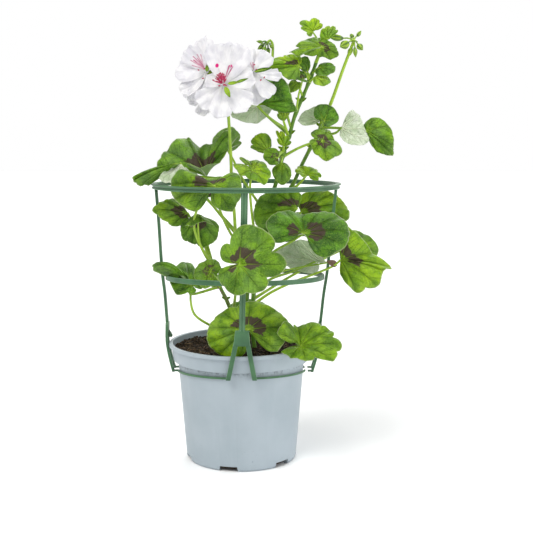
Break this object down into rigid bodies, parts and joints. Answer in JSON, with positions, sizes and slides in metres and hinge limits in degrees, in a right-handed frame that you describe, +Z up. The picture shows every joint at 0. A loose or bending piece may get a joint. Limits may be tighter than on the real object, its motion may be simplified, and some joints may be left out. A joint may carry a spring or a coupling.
{
  "type": "potted ivy geranium",
  "caption": "Ivy geranium with zoned lobed leaves and a white flower head, in a plain nursery pot of soil, held by a ring support clipped round the pot.",
  "frame": {"origin": "centre of the pot's underside, on the surface it stands on", "axes": "+Z up, +X to the right and -Y to the front of the plant as pictured"},
  "size_m": [0.2107, 0.1655, 0.3616],
  "materials": {
    "pot_plastic": "satin",
    "peat": "rough fibrous peat",
    "support_plastic": "satin",
    "plant_green": "soft living leaf",
    "petal_white": "soft petal"
  },
  "bodies": {
    "root": {"pot": "pot_plastic", "soil": "peat", "ring_top": "support_plastic", "ring_middle": "support_plastic", "clamp_front_right": "support_plastic", "clamp_back_right": "support_plastic", "clamp_back_left": "support_plastic", "clamp_front_left": "support_plastic", "upright_front": "support_plastic", "upright_right": "support_plastic", "upright_back": "support_plastic", "upright_left": "support_plastic", "shoot_left": "plant_green", "shoot_right": "plant_green", "shoot_tall": "plant_green", "floret_front": "petal_white", "floret_left": "petal_white", "floret_right": "petal_white", "floret_low": "petal_white", "floret_back": "petal_white"}
  },
  "joints": []
}
